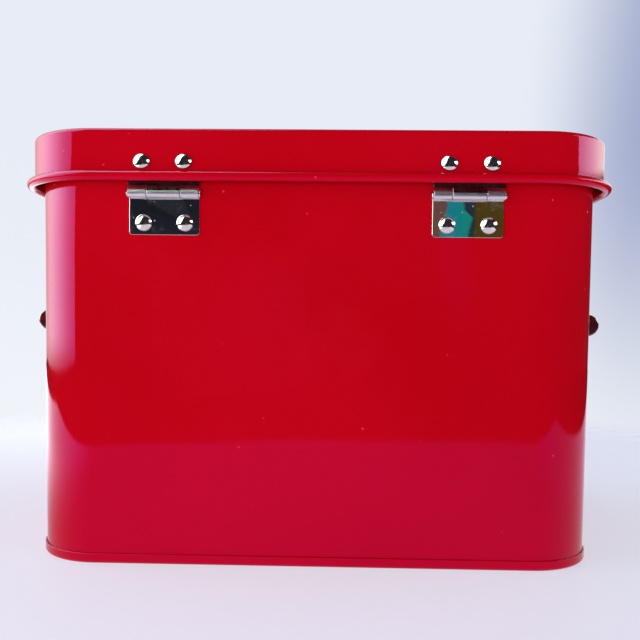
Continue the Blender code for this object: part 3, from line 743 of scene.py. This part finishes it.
def finish_cad_nodes():
    """The nodes still shown get eased edges and the finish of their slot."""
    slots = {}
    for entry in frame["record"]["materials"]:
        for node in entry.get("nodes", []):
            slots[node] = entry["slot"]
    for name, node in frame["nodes"].items():
        if node.hide_render:
            continue
        slot = slots.get(name, "tinned_sheet" if name.startswith("tray") else "bright_steel")
        material, ease = CAD_FINISH[slot]
        node.data.materials.clear()
        node.data.materials.append(material)
        add_bevel(node, ease)


finish_cad_nodes()


# ---------------------------------------------------------------- studio


def panel(name, corners, material):
    """A flat piece of the stage."""
    mesh = bpy.data.meshes.new(name)
    mesh.from_pydata(corners, [], [tuple(range(len(corners)))])
    mesh.materials.append(material)
    obj = bpy.data.objects.new(name, mesh)
    bpy.context.scene.collection.objects.link(obj)
    return obj


def only_reflected(obj):
    """Seen in mirrors, and nowhere else."""
    obj.visible_camera = False
    obj.visible_diffuse = False
    obj.visible_shadow = False
    obj.visible_transmission = False


TABLE_EDGE = 0.485  # where the pale table ends, in front of the back wall
TABLE_SIDES = (0.85, 0.57)  # how far it reaches at +X and at -X
FLOOR_FADE = (0.38, 0.62)  # where the floor passes into the backdrop
FLOOR_REACH = 1.6
TABLE_ROUNDING = 1.3  # exponent of the slant at +X: 1 is straight, 2 an ellipse
# A glowing tan patch beside the camera: painted light, seen only in mirrors.
WARM_SPOT = (-0.010, 0.43, 0.100)
WARM_SPOT_RADII = (0.046, 0.036)

# Softboxes, with their edges and reaches in degrees
SOFTBOX_BLUE = 1.03  # for each part of red
LEFT_PEAK = 7.4
LEFT_NEAR_EDGE = (-52.0, -50.6)
LEFT_LEAN = 15
RIGHT_PEAK, RIGHT_END = 6.6, 1.3
RIGHT_LOWER_EDGE = 11.2
RIGHT_SLANT = 1.5  # degrees up for each degree inward of the slant's start
RIGHT_SLANT_START = 69


def power(n, value, exponent):
    """A positive number to a power, and 0 for a negative one."""
    return n.math("POWER", n.math("MAXIMUM", value, 0.0), exponent)


def past_table(n, x, y):
    """0 on the table and 1 past its edge, which is a rounded slant at +X and square at -X."""
    across = power(n, n.math("DIVIDE", x, TABLE_SIDES[0]), TABLE_ROUNDING)
    along = power(n, n.math("DIVIDE", y, TABLE_EDGE), TABLE_ROUNDING)
    past_slant = n.ramp(n.math("ADD", across, along), 0.97, 1.03)
    past_edge = n.ramp(y, TABLE_EDGE - 0.010, TABLE_EDGE + 0.010)
    past_side = n.ramp(x, -TABLE_SIDES[1] - 0.04, -TABLE_SIDES[1] + 0.02, 1.0, 0.0)
    return n.math("MAXIMUM", n.math("MAXIMUM", past_edge, past_side), past_slant)


def dress_floor(n, shader, place, x, y):
    """The floor as the camera sees it: pale, a little lighter towards +X, with a glow of painted light
    that drifts over it and is brightest far off towards +X.
    """
    shade = n.math("MULTIPLY", n.noise(place, 3.0, 2.0), 0.12)
    # Painted light: the floor's tone is a little lighter towards +X, the side of the softbox at +X.
    tint = n.mix(n.ramp(x, -0.4, 0.4), (0.36, 0.39, 0.43, 1), (0.40, 0.43, 0.46, 1))
    n.wire(n.mix(shade, tint, (0.36, 0.37, 0.40, 1)), shader.inputs["Base Color"])
    shader.inputs["Roughness"].default_value = 0.6
    shader.inputs["Specular IOR Level"].default_value = 0.2
    # Painted light: the floor glows, most at its far side towards +X and least at its far side towards
    # -X.
    near = n.mix(n.ramp(x, -0.35, 0.1), (0.50, 0.51, 0.57, 1), (0.49, 0.49, 0.53, 1))
    far = n.mix(n.ramp(x, -0.4, 0.4), (0.43, 0.45, 0.51, 1), (0.66, 0.68, 0.71, 1))
    n.wire(n.mix(n.ramp(y, -0.40, 0.05), far, near), shader.inputs["Emission Color"])
    shader.inputs["Emission Strength"].default_value = 1.0


def make_floor():
    """A pale floor. In reflections it is a painted glow that ends at the table's edges, and past them
    the room is dark.
    """
    material, shader, n = new_material("pale_floor")
    place = n.place()
    axes = n.add("SeparateXYZ")
    n.wire(place, axes.inputs[0])
    x, y = axes.outputs[0], axes.outputs[1]
    dress_floor(n, shader, place, x, y)
    radius = n.add("VectorMath", operation="LENGTH")
    n.wire(place, radius.inputs[0])
    seen = n.add("MixShader")
    n.wire(n.ramp(radius.outputs["Value"], *FLOOR_FADE), seen.inputs[0])
    n.wire(shader.outputs[0], seen.inputs[1])
    n.wire(n.add("BsdfTransparent").outputs[0], seen.inputs[2])

    # Painted reflection: in mirrors the table glows, brightest towards +X and a little brighter again
    # at -X.
    lit = n.mix(n.ramp(x, 0.16, 0.42), (0.78, 0.72, 0.80, 1), (3.0, 2.8, 3.1, 1))
    lit = n.mix(n.ramp(x, -0.34, -0.16, 1.0, 0.0), lit, (1.02, 0.82, 1.10, 1))
    reflected = n.add("Emission")
    n.wire(n.mix(past_table(n, x, y), lit, (0.012, 0.011, 0.015, 1)), reflected.inputs["Color"])

    swap = n.add("MixShader")
    n.wire(n.add("LightPath").outputs["Is Glossy Ray"], swap.inputs[0])
    n.wire(seen.outputs[0], swap.inputs[1])
    n.wire(reflected.outputs[0], swap.inputs[2])
    n.wire(swap.outputs[0], material.node_tree.nodes["Material Output"].inputs["Surface"])
    corners = [(-1, -1), (1, -1), (1, 1), (-1, 1)]
    panel("floor", [(FLOOR_REACH * sx, FLOOR_REACH * sy, 0) for sx, sy in corners], material)


def make_warm_spot():
    """A small tan patch beside the camera that glows, seen only in mirrors: a painted reflection in
    the domed heads.
    """
    material, shader, n = new_material("warm_spot")
    glow = n.add("Emission")
    # Painted reflection: a glowing tan patch, blotched with dark, which the domed heads mirror as a
    # warm glint.
    patches = n.ramp(n.noise(n.place(), 34.0, 2.0), 0.42, 0.60)
    n.wire(n.mix(patches, (0.030, 0.016, 0.008, 1), (0.46, 0.29, 0.075, 1)), glow.inputs["Color"])
    n.wire(glow.outputs[0], material.node_tree.nodes["Material Output"].inputs["Surface"])
    x, y, z = WARM_SPOT
    wide, high = WARM_SPOT_RADII
    angles = [math.radians(20 * i) for i in range(18)]
    ring = [(x + wide * math.cos(a), y, z + high * math.sin(a)) for a in angles]
    only_reflected(panel("warm_spot", ring, material))


class Sky:
    """Directions round the box, and the colours laid over them. Turn runs round from +Y and is
    positive towards -X, and rise runs up from the horizon. Limits are given in degrees."""

    def __init__(self, n):
        self.n = n
        self.way = n.add("TexCoord").outputs["Generated"]
        axes = n.add("SeparateXYZ")
        n.wire(self.way, axes.inputs[0])
        self.x, self.y, self.z = axes.outputs
        self.turn = n.math("ARCTAN2", n.math("MULTIPLY", self.x, -1.0), self.y)
        self.rise = n.math("ARCSINE", self.z)

    def fade(self, value, low, high, to_low=0.0, to_high=1.0):
        """A smooth step between two angles."""
        return self.n.ramp(value, math.radians(low), math.radians(high), to_low, to_high)

    def window(self, value, low, high, soft=1.5):
        """1 between two angles and 0 outside them, with soft edges."""
        inside = self.fade(value, low - soft, low + soft)
        past = self.fade(value, high - soft, high + soft)
        return self.n.math("SUBTRACT", inside, past)

    def patch(self, colour, under, turns, rises, soft=1.5):
        """A patch of one colour over what is under it."""
        across, up = self.window(self.turn, *turns, soft), self.window(self.rise, *rises, soft)
        return self.n.mix(self.n.math("MULTIPLY", across, up), under, colour)

    def white(self, strength, green):
        """A white of this strength. Its green is set apart, because the enamel reflects little."""
        light = self.n.add("CombineColor")
        for i, value in enumerate((1.0, green, SOFTBOX_BLUE)):
            self.n.wire(self.n.math("MULTIPLY", strength, value), light.inputs[i])
        return light.outputs[0]


def dark_room(sky):
    """The dark room opposite the hinges, with a coloured cloth in it and pale walls behind."""
    n = sky.n
    murk = n.ramp(n.noise(sky.way, 3.2, 3.0, 0.6), 0.38, 0.66)
    seen = n.mix(murk, (0.010, 0.011, 0.018, 1), (0.036, 0.036, 0.044, 1))
    seen = sky.patch((0.020, 0.030, 0.045, 1), seen, (4, 20), (4, 16), 3.0)
    seen = sky.patch((0.14, 0.07, 0.055, 1), seen, (7.4, 9.2), (2, 11.5), 0.2)
    cloth = n.mix(sky.window(sky.turn, 8.0, 9.7, 0.8), (0.010, 0.24, 0.20, 1), (0.010, 0.22, 0.27, 1))
    lean = n.math("ADD", n.math("MULTIPLY", sky.rise, 0.15), sky.turn)
    hung = n.math("MULTIPLY", sky.window(lean, 9.4, 11.5, 0.1), sky.window(sky.rise, 1, 13.0))
    seen = n.mix(hung, seen, cloth)
    seen = sky.patch((0.075, 0.050, 0.008, 1), seen, (10.9, 14.5), (1, 13.0), 0.2)
    walls = (0.62, 0.64, 0.74, 1)
    seen = sky.patch(walls, seen, (151, 200), (-4, 95), 2.5)
    return sky.patch(walls, seen, (-200, -118), (-4, 95), 8.0)


def add_left_softbox(sky, seen):
    """The softbox at +X. Its near edge leans in as it rises. Its middle is brightest."""
    n, turn, rise = sky.n, sky.turn, sky.rise
    leant = n.math("SUBTRACT", turn, sky.fade(rise, 4, 26, 0.0, math.radians(LEFT_LEAN)))
    near_edge = sky.fade(leant, *LEFT_NEAR_EDGE, 1.0, 0.0)
    near_edge = n.math("MULTIPLY", near_edge, sky.fade(turn, -174, -162))
    shape = n.math("MULTIPLY", near_edge, sky.fade(rise, -4.6, -0.5))
    far_end, near_end = sky.fade(turn, -140, -84, 0.14, 1.0), sky.fade(turn, -80, -51, 1.0, 0.62)
    strength = n.math("MULTIPLY", n.math("MULTIPLY", far_end, near_end), LEFT_PEAK)
    higher = n.math("MULTIPLY", sky.fade(rise, 6, 12), sky.window(turn, -104, -60, 12.0))
    strength = n.math("MULTIPLY", strength, n.math("MULTIPLY_ADD", higher, 0.15, 1.0))
    return n.mix(shape, seen, sky.white(strength, sky.fade(turn, -100, -52, 0.98, 1.4)))


def add_right_softbox(sky, seen):
    """The softbox at -X hangs higher, and its lower edge slants up towards the middle."""
    n, turn, rise = sky.n, sky.turn, sky.rise
    inward = n.math("MAXIMUM", n.math("SUBTRACT", math.radians(RIGHT_SLANT_START), turn), 0.0)
    raised = n.math("MULTIPLY", inward, RIGHT_SLANT)
    lower_edge = n.math("ADD", raised, math.radians(RIGHT_LOWER_EDGE))
    above = sky.fade(n.math("SUBTRACT", rise, lower_edge), -0.5, 0.5)
    above = n.math("MULTIPLY", above, sky.window(rise, -9, 27, 4.0))
    beside = n.math("MULTIPLY", sky.fade(turn, 58, 62), sky.fade(turn, 162, 174, 1.0, 0.0))
    strength = sky.fade(turn, 80, 150, RIGHT_PEAK, RIGHT_END)
    green = sky.fade(turn, 62, 104, 1.45, 1.05)
    return n.mix(n.math("MULTIPLY", above, beside), seen, sky.white(strength, green))


def backdrop(sky):
    """What the camera sees behind the box: pale, with a blue shade at the view's right."""
    n = sky.n
    shown = n.mix(n.ramp(sky.x, -0.385, -0.23, 1.0, 0.0), (0.80, 0.84, 0.92, 1), (0.36, 0.41, 0.61, 1))
    haze = n.mix(n.ramp(sky.z, -0.2, 0.25), (0.90, 0.92, 0.96, 1), shown)
    return n.mix(0.85, shown, haze)


def soft_light(sky):
    """The light that falls on the pieces, strongest from the two sides."""
    n = sky.n
    overhead = n.mix(n.ramp(sky.z, -0.1, 0.7), (0.72, 0.72, 0.76, 1), (0.12, 0.12, 0.15, 1))
    light = n.mix(n.ramp(sky.x, 0.3, 1.0, 0.0, 0.9), overhead, (2.1, 1.9, 2.8, 1))
    return n.mix(n.ramp(sky.x, -1.0, -0.4, 0.9, 0.0), light, (1.7, 1.6, 2.1, 1))


def make_world():
    """Mirrors, the camera and the light on the pieces each have a sky of their own."""
    world = bpy.data.worlds.new("studio")
    bpy.context.scene.world = world
    world.use_nodes = True
    sky = Sky(Nodes(world.node_tree))
    seen = add_right_softbox(sky, add_left_softbox(sky, dark_room(sky)))
    seen = sky.patch((0.8, 0.5, 0.85, 1), seen, (-200, 200), (86, 100), 2.0)
    ray = sky.n.add("LightPath")
    colour = sky.n.mix(ray.outputs["Is Glossy Ray"], soft_light(sky), seen)
    colour = sky.n.mix(ray.outputs["Is Camera Ray"], colour, backdrop(sky))
    sky.n.wire(colour, world.node_tree.nodes["Background"].inputs["Color"])


FILL_PLACE, FILL_TARGET = Vector((0.10, 0.56, 0.11)), Vector((0.0, 0.09, 0.11))
FILL_SIZE = 0.16
FILL_WATTS = 0.95


def make_fill_light():
    """A small light behind the camera, at its left, which lifts the wall with the hinges."""
    light = bpy.data.lights.new("fill_light", "AREA")
    light.shape = "SQUARE"
    light.size = FILL_SIZE
    light.energy = FILL_WATTS
    obj = bpy.data.objects.new("fill_light", light)
    obj.location = FILL_PLACE
    obj.rotation_euler = (FILL_TARGET - FILL_PLACE).to_track_quat("-Z", "Y").to_euler()
    obj.visible_camera = False
    obj.visible_glossy = False
    bpy.context.scene.collection.objects.link(obj)


CAMERA_PLACE = Vector((-0.00756, 0.43186, 0.11246))
CAMERA_YAW, CAMERA_PITCH, CAMERA_ROLL = -0.0219, 0.0517, 0.0119  # radians
FOCAL_SHARE = 1.14  # of the frame's width
SENSOR = 36.0
SHIFT = (0.009, 0.070)  # of the frame's width


def make_camera():
    """At the back of the box, a little right of its middle as it is seen, looking slightly down."""
    ahead = Vector((-math.sin(CAMERA_YAW), -math.cos(CAMERA_YAW), 0))
    forward = ahead * math.cos(CAMERA_PITCH) - Vector((0, 0, math.sin(CAMERA_PITCH)))
    right = Vector((-math.cos(CAMERA_YAW), math.sin(CAMERA_YAW), 0))
    up = right.cross(forward)
    rolled_right = right * math.cos(CAMERA_ROLL) + up * math.sin(CAMERA_ROLL)
    rolled_up = up * math.cos(CAMERA_ROLL) - right * math.sin(CAMERA_ROLL)
    data = bpy.data.cameras.new("view")
    data.sensor_width = SENSOR
    data.lens = FOCAL_SHARE * SENSOR
    data.shift_x, data.shift_y = SHIFT
    data.clip_start = 0.01
    camera = bpy.data.objects.new("view", data)
    basis = Matrix((rolled_right, rolled_up, -forward)).transposed()
    camera.matrix_world = Matrix.Translation(CAMERA_PLACE) @ basis.to_4x4()
    bpy.context.scene.collection.objects.link(camera)
    bpy.context.scene.camera = camera


make_floor()
make_warm_spot()
make_world()
make_fill_light()
make_camera()
bpy.context.scene.view_settings.view_transform = "Standard"
